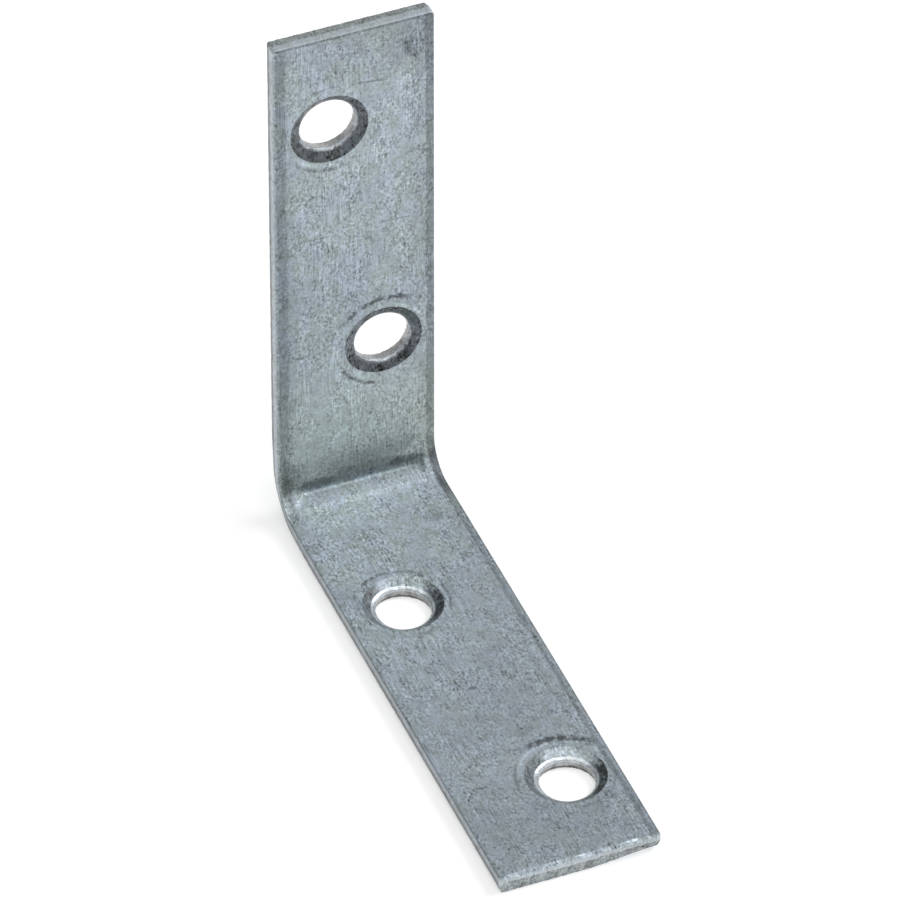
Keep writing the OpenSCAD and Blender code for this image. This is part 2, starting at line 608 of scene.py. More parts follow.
    def _on_face(self, vert: Vector) -> Vector:
        """Shapes a point of the inner or the outer sheet."""
        place, _ = self._outline(vert.x, vert.y)
        depth = vert.z
        if depth > self.strip.thickness / 2.0:
            wander = 1.0 + 0.14 * noise.noise(Vector((place.x * 0.35, place.y * 0.2, 5.0)))
            end = min(self.top_end - place.x, place.x - self.low_end) + self.edge.sheet_inset
            side = self.side - abs(place.y) + self.edge.sheet_inset
            cut = self.edge.top if place.x > 0.0 else self.edge.foot
            width = between(1.0, wander, ease(side, 0.3, 0.5)) * self.edge.side.roll_width
            depth -= max(self.edge.side.roll(side, width), cut.roll(end, cut.roll_width))
            depth -= sum(hole.dish(place.x, place.y) for hole in self.holes)
        return Vector((place.x, place.y, depth))

    def _on_hole(self, vert: Vector, hole: ScrewHole, points: Sequence[Point]) -> Vector:
        """Shapes a point of a hole's wall."""
        ring = round((1.0 - vert.z / self.strip.thickness) * (len(points) - 1))
        radius, depth = points[ring]
        out = Vector((vert.x - hole.along, vert.y - hole.y)).normalized()
        if 0.0 < depth < hole.burst_depth + 0.12:
            rough = noise.noise(Vector((out.x * 9.0 + hole.along, out.y * 9.0, depth * 3.0)))
            radius += 0.05 * rough * ease(depth, hole.burst_depth + 0.12, 0.1)
        place = Vector((hole.along, hole.y)) + out * radius
        sink_floor = self.strip.thickness - hole.sink_depth
        place.y += hole.press * max(0.0, -out.y) ** 2 * ease(depth, sink_floor + 0.35, sink_floor - 0.05)
        high = ease(depth, sink_floor, self.strip.thickness)
        if 0 < ring < len(points) - 1:
            place += Vector(hole.sink_shift) * high
        depth -= hole.dish(place.x, place.y) * high
        return Vector((place.x, place.y, depth))

    def _on_edge(self, vert: Vector) -> Vector:
        """Shapes a point of the sheared edge."""
        place, out = self._outline(vert.x, vert.y)
        end = self.edge.top if vert.x > 0.0 else self.edge.foot
        sections = (self._sections[self.edge.side], self._sections[end])
        ring = round((1.0 - vert.z / self.strip.thickness) * (len(sections[0]) - 1))
        inset, depth = self.edge.point(sections, ring, end, out.x ** 2, place)
        place = place + out * (self.edge.sheet_inset - inset)
        return Vector((place.x, place.y, depth))

    def shape(self, bm: bmesh.types.BMesh) -> None:
        """Names each face's zone, gives every point its true place and remembers it for the finishes."""
        self._sections = {cut: self.edge.section(cut) for cut in (self.edge.side, self.edge.top, self.edge.foot)}
        self._edge_zones = self.edge.zones()
        foot_corner = (self.low_end - self.edge.sheet_inset, self.strip.half)
        for face in bm.faces:
            face.material_index = self._zone(face).value
            face.smooth = True
        walls = {hole: hole.section(self.strip.thickness) for hole in self.holes}
        blank = bm.verts.layers.float_vector.new("blank")
        for vert in bm.verts:
            on_wall = 1e-3 < vert.co.z < self.strip.thickness - 1e-3
            hole = self._hole_at(vert.co.x, vert.co.y)
            if hole:
                vert.co = self._on_hole(vert.co, hole, walls[hole])
            elif on_wall:
                vert.co = self._on_edge(vert.co)
            else:
                vert.co = self._on_face(vert.co)
            vert.co.z += self.edge.worn(vert.co, foot_corner)
            vert[blank] = vert.co

    def bent_mesh(self) -> bpy.types.Mesh:
        """Makes the blank, bends it and closes it into a mesh in metres.

        Returns:
            The finished mesh, with the flat place of every point kept in its "blank" attribute.
        """
        bm = bmesh.new()
        self.sheet(bm)
        self.thicken(bm)
        self.shape(bm)
        for vert in bm.verts:
            vert.co = self.bend.place(vert.co) * MM
        bmesh.ops.recalc_face_normals(bm, faces=bm.faces)
        mesh = bpy.data.meshes.new("corner_brace")
        bm.to_mesh(mesh)
        bm.free()
        mesh.set_sharp_from_angle(angle=math.radians(42.0))
        return mesh


class Graph:
    """A small helper that adds nodes to a node tree and joins them up."""

    def __init__(self, tree: bpy.types.NodeTree) -> None:
        """Keeps the tree that the nodes go into."""
        self.tree = tree

    def add(self, kind: str, inputs: dict | None = None, **settings: object) -> bpy.types.Node:
        """Adds a node.

        Args:
            kind: The node's type.
            inputs: What goes into its sockets, by name or number: a value, or the socket that feeds it.
            settings: Properties of the node itself.

        Returns:
            The new node.
        """
        node = self.tree.nodes.new(kind)
        for name, value in settings.items():
            setattr(node, name, value)
        for name, value in (inputs or {}).items():
            self.feed(node.inputs[name], value)
        return node

    def feed(self, socket: bpy.types.NodeSocket, value: object) -> None:
        """Joins a socket to another one, or sets its value."""
        if isinstance(value, bpy.types.NodeSocket):
            self.tree.links.new(value, socket)
        else:
            socket.default_value = value

    def math(self, operation: str, *values: object, clamp: bool = False) -> bpy.types.NodeSocket:
        """The result of a Math node on values or sockets."""
        inputs = dict(enumerate(values))
        return self.add("ShaderNodeMath", inputs, operation=operation, use_clamp=clamp).outputs[0]

    def centred(self, value: object) -> bpy.types.NodeSocket:
        """A noise value shifted so that it swings round 0."""
        return self.math("SUBTRACT", value, 0.5)

    def total(self, *values: object) -> bpy.types.NodeSocket:
        """The sum of values or sockets."""
        result = values[0]
        for value in values[1:]:
            result = self.math("ADD", result, value)
        return result

    def ramp(self, value: object, low: float, high: float, at_low: float = 0.0,
             at_high: float = 1.0) -> bpy.types.NodeSocket:
        """Maps a value smoothly from the range low to high onto at_low to at_high."""
        inputs = {"Value": value, "From Min": low, "From Max": high, "To Min": at_low, "To Max": at_high}
        return self.add("ShaderNodeMapRange", inputs, interpolation_type="SMOOTHSTEP").outputs["Result"]

    def noise(self, vector: bpy.types.NodeSocket, stretch: tuple[float, float, float], detail: float = 2.0,
              seed: float = 0.0) -> bpy.types.NodeSocket:
        """Noise with as many features per millimetre along each axis as stretch says."""
        moved = self.add("ShaderNodeMapping", {"Vector": vector, "Location": (seed, 2.0 * seed, -seed),
                                               "Scale": stretch}, vector_type="POINT").outputs[0]
        return self.add("ShaderNodeTexNoise", {"Vector": moved, "Scale": 1.0, "Detail": detail,
                                               "Roughness": 0.6}).outputs["Fac"]

    def mix(self, share: object, first: object, second: object) -> bpy.types.NodeSocket:
        """Mixes two colours."""
        node = self.add("ShaderNodeMix", data_type="RGBA")
        self.feed(node.inputs[0], share)
        self.feed(node.inputs[6], first)
        self.feed(node.inputs[7], second)
        return node.outputs[2]

    def tinted(self, colour: object, tone: object) -> bpy.types.NodeSocket:
        """A colour times a value."""
        node = self.add("ShaderNodeVectorMath", operation="SCALE")
        self.feed(node.inputs[0], colour)
        self.feed(node.inputs["Scale"], tone)
        return node.outputs[0]


def new_group(name: str, inputs: dict[str, str], outputs: dict[str, str]) -> tuple[Graph, dict, dict]:
    """Starts a shader node group.

    Args:
        name: The group's name.
        inputs: Its input sockets, each with its socket type.
        outputs: Its output sockets, each with its socket type.

    Returns:
        The group's graph, the sockets that bring its inputs and the sockets that take its outputs.
    """
    tree = bpy.data.node_groups.new(name, "ShaderNodeTree")
    for label, kind in inputs.items():
        tree.interface.new_socket(name=label, in_out="INPUT", socket_type=kind)
    for label, kind in outputs.items():
        tree.interface.new_socket(name=label, in_out="OUTPUT", socket_type=kind)
    graph = Graph(tree)
    given = graph.add("NodeGroupInput").outputs
    taken = graph.add("NodeGroupOutput").inputs
    return graph, {label: given[label] for label in inputs}, {label: taken[label] for label in outputs}


class ZincCoat:
    """The mottled look of a hot zinc coat that was rolled and punched, shared by every finish."""

    NUMBER = "NodeSocketFloat"
    VECTOR = "NodeSocketVector"

    def __init__(self) -> None:
        """Builds the group once: place on the blank in, tone, hue and height out."""
        inputs = {"Blank": self.VECTOR, "Grain": self.NUMBER, "Mottle": self.NUMBER, "Streaks": self.NUMBER,
                  "Flecks": self.NUMBER}
        outputs = {"Tone": self.NUMBER, "Hue": self.NUMBER, "Height": self.NUMBER}
        graph, given, taken = new_group("zinc_coat", inputs, outputs)
        blank = given["Blank"]
        grain = self._grain(graph, blank)
        mottle = graph.centred(graph.noise(blank, (0.75, 1.0, 0.9), 3.0, 4.1))
        streaks = self._streaks(graph, blank)
        flecks = self._flecks(graph, blank)
        parts = (graph.math("MULTIPLY", grain, given["Grain"]), graph.math("MULTIPLY", mottle, given["Mottle"]),
                 graph.math("MULTIPLY", streaks, given["Streaks"]),
                 graph.math("MULTIPLY", flecks, graph.math("MULTIPLY", given["Flecks"], -1.0)))
        graph.feed(taken["Tone"], graph.total(1.0, *parts))
        patches = graph.noise(blank, (0.3, 0.4, 0.3), 3.0, 8.3)
        graph.feed(taken["Hue"], graph.ramp(graph.total(graph.math("MULTIPLY", mottle, 0.8), patches), 0.36, 0.64))
        relief = graph.total(grain, graph.math("MULTIPLY", streaks, 0.7), graph.math("MULTIPLY", flecks, -0.4))
        graph.feed(taken["Height"], relief)
        self.tree = graph.tree

    def _grain(self, graph: Graph, blank: bpy.types.NodeSocket) -> bpy.types.NodeSocket:
        """Fine crystals of the coat, strong in some patches and calm in others."""
        grain = graph.centred(graph.noise(blank, (3.6, 4.8, 4.0), 5.0, 1.7))
        patchy = graph.ramp(graph.noise(blank, (0.5, 0.7, 0.5), 2.0, 12.4), 0.38, 0.6, 0.5, 1.45)
        return graph.math("MULTIPLY", grain, patchy)

    def _streaks(self, graph: Graph, blank: bpy.types.NodeSocket) -> bpy.types.NodeSocket:
        """Thin rolling streaks along the strip, in patches."""
        streaks = graph.centred(graph.noise(blank, (0.6, 8.5, 0.7), 2.0, 2.9))
        patchy = graph.ramp(graph.noise(blank, (0.18, 0.33, 0.2), 1.0, 6.6), 0.4, 0.6)
        return graph.math("MULTIPLY", streaks, patchy)

    def _flecks(self, graph: Graph, blank: bpy.types.NodeSocket) -> bpy.types.NodeSocket:
        """Crowds of dark specks and short curled lines."""
        lines = graph.math("ABSOLUTE", graph.centred(graph.noise(blank, (1.9, 2.5, 1.5), 1.0, 5.5)))
        broken = graph.ramp(graph.noise(blank, (1.7, 2.3, 2.0), 1.0, 7.7), 0.5, 0.6)
        curls = graph.math("MULTIPLY", graph.ramp(lines, 0.055, 0.01), broken)
        specks = graph.ramp(graph.noise(blank, (2.4, 3.0, 2.6), 2.0, 9.4), 0.58, 0.7)
        crowded = graph.ramp(graph.noise(blank, (0.3, 0.42, 0.3), 2.0, 3.3), 0.42, 0.66)
        return graph.math("MAXIMUM", graph.math("MULTIPLY", specks, crowded), graph.math("MULTIPLY", curls, 0.8))


@dataclass(frozen=True)
class ZincFinish:
    """One finish of the strip: the zinc coat's colours and how strongly each of its effects shows."""

    name: str
    warm: tuple[float, float, float] = (0.455, 0.53, 0.545)
    cool: tuple[float, float, float] = (0.45, 0.515, 0.585)
    metallic: float = 0.5
    roughness: float = 0.52
    grain: float = 2.2
    mottle: float = 0.6
    streaks: float = 1.5
    flecks: float = 0.34
    relief: float = 0.012

    def wear(self, graph: Graph, blank: bpy.types.NodeSocket, tone: bpy.types.NodeSocket,
             marks: "MarkGroups") -> bpy.types.NodeSocket:
        """Changes the coat's tone where it is marked or has painted shade and light. A plain finish has none of
        these.
        """
        return tone

    def tint(self, graph: Graph, blank: bpy.types.NodeSocket, colour: bpy.types.NodeSocket) -> bpy.types.NodeSocket:
        """Changes the coat's colour from place to place. A plain finish has the same colour everywhere."""
        return colour

    def material(self, coat: ZincCoat, marks: "MarkGroups") -> bpy.types.Material:
        """Makes the finish's material.

        Args:
            coat: The shared zinc coat group.
            marks: The shared groups for marks.

        Returns:
            The material.
        """
        material = bpy.data.materials.new(self.name)
        material.use_nodes = True
        graph = Graph(material.node_tree)
        shader = next(node for node in graph.tree.nodes if node.type == "BSDF_PRINCIPLED")
        blank = graph.add("ShaderNodeAttribute", attribute_name="blank").outputs["Vector"]
        zinc = graph.add("ShaderNodeGroup", {"Blank": blank, "Grain": self.grain, "Mottle": self.mottle,
                                             "Streaks": self.streaks, "Flecks": self.flecks}, node_tree=coat.tree)
        tone = self.wear(graph, blank, zinc.outputs["Tone"], marks)
        colour = graph.mix(zinc.outputs["Hue"], (*self.warm, 1.0), (*self.cool, 1.0))
        graph.feed(shader.inputs["Base Color"], graph.tinted(self.tint(graph, blank, colour), tone))
        graph.feed(shader.inputs["Metallic"], self.metallic)
        graph.feed(shader.inputs["Roughness"],
                   graph.ramp(zinc.outputs["Tone"], 0.6, 1.4, self.roughness + 0.08, self.roughness - 0.08))
        bump = graph.add("ShaderNodeBump", {"Height": zinc.outputs["Height"], "Strength": 1.0,
                                            "Distance": self.relief * MM})
        graph.feed(shader.inputs["Normal"], bump.outputs["Normal"])
        return material


@dataclass(frozen=True)
class PaintedArc:
    """A thin arc of painted shade round a hole, in millimetres and degrees on the blank; a strength below 0 makes it
    a painted highlight.
    """

    hole: str
    radius: float
    start: float
    end: float
    strength: float
    width: float = 0.13
    serration: float = 0.5


@dataclass(frozen=True)
class Mark:
    """An ellipse of the inner face whose tone changes, in millimetres and degrees. Marks are real scratches and
    dents, and patches of painted shade, painted light and painted highlight.

    Its length runs along the strip before it is turned, and a strength below 0 brightens.
    """

    along: float
    y: float
    length: float
    width: float
    turn: float
    strength: float
    soft: float = 0.3


# Painted shade where the dishes' steps face away from the light, and painted highlights (strength below 0) just
# outside the countersinks' rims.
ARCS = (
    PaintedArc("upright_outer_hole", 4.18, 160.0, 235.0, 0.42, 0.16, 0.6),
    PaintedArc("upright_outer_hole", 3.72, 165.0, 245.0, -0.2, 0.2, 0.2),
    PaintedArc("upright_outer_hole", 4.35, -45.0, 15.0, 0.32, 0.16, 0.7),
    PaintedArc("upright_inner_hole", 4.7, -60.0, 35.0, 0.7, 0.28, 0.9),
    PaintedArc("upright_inner_hole", 3.75, -15.0, 110.0, -0.28, 0.2, 0.2),
    PaintedArc("upright_inner_hole", 4.2, 180.0, 265.0, 0.6, 0.19, 0.7),
    PaintedArc("foot_inner_hole", 3.95, -58.0, 58.0, 0.45, 0.15, 0.3),
    PaintedArc("foot_inner_hole", 3.6, -125.0, -60.0, 0.35, 0.15, 0.4),
    PaintedArc("foot_inner_hole", 3.95, 70.0, 125.0, 0.42, 0.15, 0.5),
    PaintedArc("foot_inner_hole", 4.0, -75.0, 5.0, 0.42, 0.17, 0.3),
    PaintedArc("foot_outer_hole", 4.35, -32.0, 58.0, 0.7, 0.42, 0.9),
    PaintedArc("foot_outer_hole", 3.8, -75.0, 20.0, -0.18, 0.22, 0.3),
    PaintedArc("foot_outer_hole", 4.1, -105.0, -45.0, 0.42, 0.2, 0.5),
)

# Painted shade on the foot holes' countersinks: a dark crescent on one side and a dimmer patch on the other.
SINK_SHADE_ARCS = (
    PaintedArc("foot_inner_hole", 3.1, 48.0, 172.0, 0.72, 0.55, 0.3),
    PaintedArc("foot_inner_hole", 2.9, -80.0, -12.0, 0.42, 0.6, 0.3),
    PaintedArc("foot_outer_hole", 3.1, 52.0, 172.0, 0.72, 0.55, 0.3),
    PaintedArc("foot_outer_hole", 2.9, -80.0, -12.0, 0.3, 0.6, 0.3),
)

SCRATCHES_AND_HIGHLIGHTS = (
    Mark(42.45, 1.4, 1.35, 0.1, 98.0, 0.35),
    Mark(44.9, 4.9, 1.3, 0.4, -22.0, 0.3),
    Mark(27.35, 3.45, 1.5, 0.055, 92.0, 0.4),
    Mark(26.8, -4.8, 0.5, 0.09, 0.0, 0.4),
    Mark(27.3, -3.1, 1.4, 0.07, 93.0, 0.3),
    Mark(15.02, -4.9, 0.1, 0.3, 0.0, 0.5),
    Mark(-26.96, -0.58, 0.2, 0.33, 0.0, 0.5),
    Mark(-6.3, 4.6, 0.7, 0.5, 20.0, 0.2),
    # Painted highlights along the foot end's upper edge.
    Mark(-48.42, 4.6, 0.1, 0.6, 0.0, -1.0, 0.5),
    Mark(-48.46, 0.1, 0.07, 0.3, 0.0, -0.8, 0.5),
    Mark(-48.46, -2.1, 0.07, 0.25, 0.0, -0.7, 0.5),
)

# Painted shade near both ends, along the upright's sides and on the legs' middles, and one painted highlight along
# the foot's right edge.
PAINTED_SHADE_AND_LIGHT = (
    Mark(47.0, 1.5, 4.0, 8.0, 0.0, 0.17, 0.8),
    Mark(46.0, 5.2, 3.5, 2.2, 0.0, 0.16, 0.7),
    Mark(27.0, -6.7, 24.0, 1.5, 0.0, 0.15, 0.4),
    Mark(27.0, 6.3, 24.0, 1.5, 0.0, 0.13, 0.4),
    Mark(-44.0, 0.0, 4.0, 7.0, 0.0, 0.12, 0.7),
    Mark(26.0, 0.5, 9.0, 5.0, 0.0, 0.05, 0.8),
    Mark(-30.0, 0.5, 4.5, 5.0, 0.0, 0.08, 0.8),
    Mark(-48.6, 0.0, 0.35, 7.0, 0.0, 0.13, 0.4),
    Mark(-26.0, 6.7, 22.5, 0.13, 0.0, -0.4, 0.5),
)

# Painted shade on the crease's upper flank, at its tips and along the sides near the bend; painted highlights along
# the crease's lower edge and on the left side; and painted light on both legs next to the bend.
BEND_SHADE_AND_HIGHLIGHTS = (
    Mark(7.5, -1.2, 6.0, 4.2, 0.0, -0.25, 0.9),
    Mark(2.2, 0.4, 1.6, 3.4, 0.0, 0.34, 0.7),
    Mark(2.4, -5.8, 1.4, 1.3, 0.0, 0.3, 0.6),
    Mark(1.0, 0.4, 0.75, 5.3, 0.0, 0.36, 0.4),
    Mark(0.8, -3.6, 0.5, 1.6, 0.0, 0.42, 0.25),
    Mark(0.95, 4.2, 0.42, 1.5, 0.0, 0.4, 0.25),
    Mark(1.2, -6.2, 0.9, 0.6, 30.0, 0.35, 0.5),
    Mark(0.13, 0.4, 0.14, 5.5, 0.0, -0.55, 0.6),
    Mark(-2.4, -2.0, 2.3, 5.5, 0.0, -0.19, 0.6),
    Mark(0.4, 5.9, 0.8, 0.4, -25.0, 0.22, 0.6),
    Mark(-0.9, -6.7, 0.9, 0.25, 12.0, -0.5, 0.6),
    Mark(-1.0, 6.75, 3.2, 0.5, 0.0, 0.5, 0.3),
)


class MarkGroups:
    """The shader groups for arcs, marks and the painted shade and light on the holes' sides: place on the blank in,
    mask or factor out.
    """

    def __init__(self) -> None:
        """Builds the groups."""
        self.arc = self._arc()
        self.mark = self._mark()
        self.side = self._side()

    def arc_mask(self, graph: Graph, blank: bpy.types.NodeSocket, arc: PaintedArc,
                 centre: tuple[float, float, float]) -> bpy.types.NodeSocket:
        """The mask of one arc.

        Args:
            graph: The material's graph.
            blank: Place on the blank.
            arc: The arc.
            centre: Its hole's centre on the inner face.

        Returns:
            The mask, ragged and broken by noise.
        """
        teeth = graph.centred(graph.noise(blank, (3.2, 3.4, 3.0), 2.0, 15.0))
        gaps = graph.ramp(graph.noise(blank, (1.9, 1.9, 2.0), 2.0, 21.0), 0.36, 0.52, 0.25, 1.0)
        middle, reach = math.radians((arc.start + arc.end) / 2.0), math.radians((arc.end - arc.start) / 2.0)
        node = graph.add("ShaderNodeGroup", {
            "Blank": blank, "Centre": centre, "Radius": arc.radius, "Width": arc.width, "Middle": middle,
            "Reach": reach, "Serration": 0.8 * arc.serration, "Teeth": teeth, "Gaps": gaps,
        }, node_tree=self.arc)
        return node.outputs["Mask"]

    def _arc(self) -> bpy.types.NodeTree:
        """A thin broken arc round a centre."""
        inputs = {"Blank": ZincCoat.VECTOR, "Centre": ZincCoat.VECTOR, "Radius": ZincCoat.NUMBER,
                  "Width": ZincCoat.NUMBER, "Middle": ZincCoat.NUMBER, "Reach": ZincCoat.NUMBER,
                  "Serration": ZincCoat.NUMBER, "Teeth": ZincCoat.NUMBER, "Gaps": ZincCoat.NUMBER}
        graph, given, taken = new_group("punch_arc", inputs, {"Mask": ZincCoat.NUMBER})
        away = graph.add("ShaderNodeVectorMath", {0: given["Blank"], 1: given["Centre"]},
                         operation="SUBTRACT").outputs[0]
        part = graph.add("ShaderNodeSeparateXYZ", {0: away}).outputs
        square = graph.total(graph.math("POWER", part["X"], 2.0), graph.math("POWER", part["Y"], 2.0))
        turn = graph.math("ARCTAN2", part["Y"], part["X"])
        apart = graph.math("WRAP", graph.math("SUBTRACT", turn, given["Middle"]), math.pi, -math.pi)
        inside = graph.ramp(graph.math("DIVIDE", graph.math("ABSOLUTE", apart), given["Reach"]), 1.0, 0.6)
        shift = graph.math("MULTIPLY", given["Teeth"], given["Serration"])
        off = graph.total(graph.math("SQRT", square), graph.math("MULTIPLY", given["Radius"], -1.0), shift)
        band = graph.ramp(graph.math("DIVIDE", graph.math("ABSOLUTE", off), given["Width"]), 1.3, 0.3)
        graph.feed(taken["Mask"], graph.math("MULTIPLY", graph.math("MULTIPLY", band, inside), given["Gaps"]))
        return graph.tree

    def _mark(self) -> bpy.types.NodeTree:
        """An ellipse with a ragged edge."""
        inputs = {"Blank": ZincCoat.VECTOR, "Centre": ZincCoat.VECTOR, "Turn": ZincCoat.NUMBER,
                  "Size": ZincCoat.VECTOR, "Soft": ZincCoat.NUMBER, "Teeth": ZincCoat.NUMBER}
        graph, given, taken = new_group("mark", inputs, {"Mask": ZincCoat.NUMBER})
        away = graph.add("ShaderNodeVectorMath", {0: given["Blank"], 1: given["Centre"]},
                         operation="SUBTRACT").outputs[0]
        turned = graph.add("ShaderNodeVectorRotate", {"Vector": away, "Angle": given["Turn"]},
                           rotation_type="Z_AXIS").outputs[0]
        scaled = graph.add("ShaderNodeVectorMath", {0: turned, 1: given["Size"]}, operation="DIVIDE").outputs[0]
        reach = graph.add("ShaderNodeVectorMath", {0: scaled}, operation="LENGTH").outputs["Value"]
        ragged = graph.total(reach, given["Teeth"])
        outer = graph.math("ADD", 1.0, given["Soft"])
        inner = graph.math("SUBTRACT", 1.0, given["Soft"])
        graph.feed(taken["Mask"], graph.ramp(ragged, outer, inner))
        return graph.tree

    def _side(self) -> bpy.types.NodeTree:
        """A factor of painted shade and light that goes round a hole from its lit side to its shaded side, and is 1
        away from the hole.
        """
        inputs = {"Blank": ZincCoat.VECTOR, "Centre": ZincCoat.VECTOR, "Light Side": ZincCoat.VECTOR,
                  "Dark": ZincCoat.NUMBER, "Light": ZincCoat.NUMBER, "Reach": ZincCoat.NUMBER}
        graph, given, taken = new_group("hole_side", inputs, {"Factor": ZincCoat.NUMBER})
        away = graph.add("ShaderNodeVectorMath", {0: given["Blank"], 1: given["Centre"]},
                         operation="SUBTRACT").outputs[0]
        flat = graph.add("ShaderNodeVectorMath", {0: away, 1: (1.0, 1.0, 0.0)}, operation="MULTIPLY").outputs[0]
        distance = graph.add("ShaderNodeVectorMath", {0: flat}, operation="LENGTH").outputs["Value"]
        side = graph.add("ShaderNodeVectorMath", {0: flat, 1: given["Light Side"]},
                         operation="DOT_PRODUCT").outputs["Value"]
        factor = graph.ramp(graph.math("DIVIDE", side, distance), 0.35, 0.95, given["Dark"], given["Light"])
        near = graph.math("LESS_THAN", distance, given["Reach"])
        change = graph.math("MULTIPLY", graph.math("SUBTRACT", factor, 1.0), near)
        graph.feed(taken["Factor"], graph.math("ADD", 1.0, change))
        return graph.tree


@dataclass(frozen=True)
class FaceFinish(ZincFinish):
    """The finish of the strip's faces, with the margins, arcs and scratches of the inner one, and its painted shade,
    painted light and painted highlights.
    """

    half_width: float = 7.0
    thickness: float = 1.6
    centres: tuple[tuple[str, float, float], ...] = ()
    top: float = 48.0
    # Strengths of the painted shade along the inner face's right and left margins.
    right_band_shade: float = 0.35
    left_band_shade: float = 0.27
    top_line: float = 0.33
    calm: float = 0.8
    bend_green: tuple[float, float, float] = (0.46, 0.528, 0.52)

    def wear(self, graph: Graph, blank: bpy.types.NodeSocket, tone: bpy.types.NodeSocket,
             marks: "MarkGroups") -> bpy.types.NodeSocket:
        """Marks the inner face with painted shade along its edges, arcs of painted shade and highlight round the
        holes, its scratches, and painted shade, light and highlights at the bend and elsewhere.

        Args:
            graph: The material's graph.
            blank: Place on the blank.
            tone: The coat's tone so far.
            marks: The shared groups for marks.

        Returns:
            The tone with the marks in it.
        """
        place = graph.add("ShaderNodeSeparateXYZ", {0: blank}).outputs
        teeth = graph.centred(graph.noise(blank, (3.2, 3.4, 3.0), 2.0, 15.0))
        centres = {name: (along, y, self.thickness) for name, along, y in self.centres}
        masks = self._margins(graph, blank, place)
        # Arcs of painted shade and painted highlight round the holes.
        for arc in ARCS:
            masks.append((marks.arc_mask(graph, blank, arc, centres[arc.hole]), arc.strength))
        # Scratches, and patches of painted shade, painted light and painted highlight.
        for mark in (*SCRATCHES_AND_HIGHLIGHTS, *PAINTED_SHADE_AND_LIGHT, *BEND_SHADE_AND_HIGHLIGHTS):
            node = graph.add("ShaderNodeGroup", {
                "Blank": blank, "Centre": (mark.along, mark.y, self.thickness), "Turn": math.radians(-mark.turn),
                "Size": (mark.length, mark.width, 20.0), "Soft": mark.soft, "Teeth": teeth,
            }, node_tree=marks.mark)
            masks.append((node.outputs["Mask"], mark.strength))
        inner = graph.ramp(place["Z"], 0.0, self.thickness / 2.0)
        texture = graph.ramp(place["X"], -3.0, 3.0, 1.0, self.calm)
        tone = graph.math("ADD", graph.math("MULTIPLY", graph.math("SUBTRACT", tone, 1.0), texture), 1.0)
        for mask, strength in masks:
            loss = graph.math("MULTIPLY", graph.math("MULTIPLY", mask, strength), inner)
            tone = graph.math("MULTIPLY", tone, graph.math("SUBTRACT", 1.0, loss))
        return tone

    def _margins(self, graph: Graph, blank: bpy.types.NodeSocket, place: dict) -> list[tuple]:
        """Where the inner face is darker along its sides, as painted shade, and at a thin line near the upright's
        end, each mask with its strength.
        """
        wobble = graph.math("MULTIPLY", graph.centred(graph.noise(blank, (0.5, 0.2, 0.3), 3.0, 17.0)), 0.5)
        across = graph.total(place["Y"], wobble)
        right = graph.ramp(across, self.half_width - 0.85, self.half_width - 0.75)
        left = graph.math("MULTIPLY", graph.ramp(across, -self.half_width + 1.25, -self.half_width + 0.95),
                          graph.ramp(across, -self.half_width + 0.22, -self.half_width + 0.32))
        left = graph.math("MULTIPLY", left, graph.ramp(place["X"], -5.0, 0.0))
        line = graph.ramp(place["X"], self.top - 0.29, self.top - 0.24)
        return [(right, self.right_band_shade), (left, self.left_band_shade), (line, self.top_line)]

    def tint(self, graph: Graph, blank: bpy.types.NodeSocket, colour: bpy.types.NodeSocket) -> bpy.types.NodeSocket:
        """Makes the coat greener on the upright leg near the bend, and bluer far out on the foot."""
        along = graph.add("ShaderNodeSeparateXYZ", {0: blank}).outputs["X"]
        share = graph.math("MULTIPLY", graph.ramp(along, 17.0, 6.0), graph.ramp(along, -1.0, 2.0))
        on_foot = graph.ramp(along, -8.0, -25.0, 0.0, 0.4)
        return graph.mix(on_foot, graph.mix(share, colour, (*self.bend_green, 1.0)), (*self.cool, 1.0))


@dataclass(frozen=True)
class EdgeFinish(ZincFinish):
    """The finish of a zone of the cut edges: lightest at the upright's end and darkest low on the long sides."""

    half_width: float = 7.0
    ends: Point = (-48.8, 48.0)
    dark_depth: float = 0.85
    # Tones of the painted shade low on the sides, on the whole sides, on the foot leg's edges and on the brow.
    side_tone: float = 0.5
    long_tone: float = 0.76
    foot_tone: float = 0.78
    brow_depth: float = 1.48
    brow_shade_tone: float = 0.74

    def wear(self, graph: Graph, blank: bpy.types.NodeSocket, tone: bpy.types.NodeSocket,
             marks: "MarkGroups") -> bpy.types.NodeSocket:
        """Darkens the long sides, more so low down, and the foot leg's edges and the brow. This is painted shade, low
        on the sides also the torn zone's own darker coat, and at the brow it dims the rounded brow's highlight.
        """
        place = graph.add("ShaderNodeSeparateXYZ", {0: blank}).outputs
        limit = self.half_width - 0.4
        side = graph.math("MULTIPLY", graph.ramp(graph.math("ABSOLUTE", place["Y"]), limit, limit + 0.1),
                          graph.math("MULTIPLY", graph.ramp(place["X"], self.ends[0] + 0.3, self.ends[0] + 0.5),
                                     graph.ramp(place["X"], self.ends[1] - 0.3, self.ends[1] - 0.5)))
        ragged = graph.math("MULTIPLY", graph.centred(graph.noise(blank, (0.8, 0.8, 0.8), 2.0, 41.0)), 0.3)
        low = graph.ramp(graph.total(place["Z"], ragged), self.dark_depth + 0.06, self.dark_depth - 0.06)
        foot = graph.ramp(place["X"], 1.0, -1.0)
        brow = graph.ramp(place["Z"], self.brow_depth - 0.04, self.brow_depth + 0.04)
        # Each mask paints shade on the cut edge.
        for mask, left in ((graph.math("MULTIPLY", side, low), self.side_tone), (side, self.long_tone),
                           (foot, self.foot_tone), (brow, self.brow_shade_tone)):
            tone = graph.math("MULTIPLY", tone, graph.math("SUBTRACT", 1.0, graph.math("MULTIPLY", mask, 1.0 - left)))
        return tone


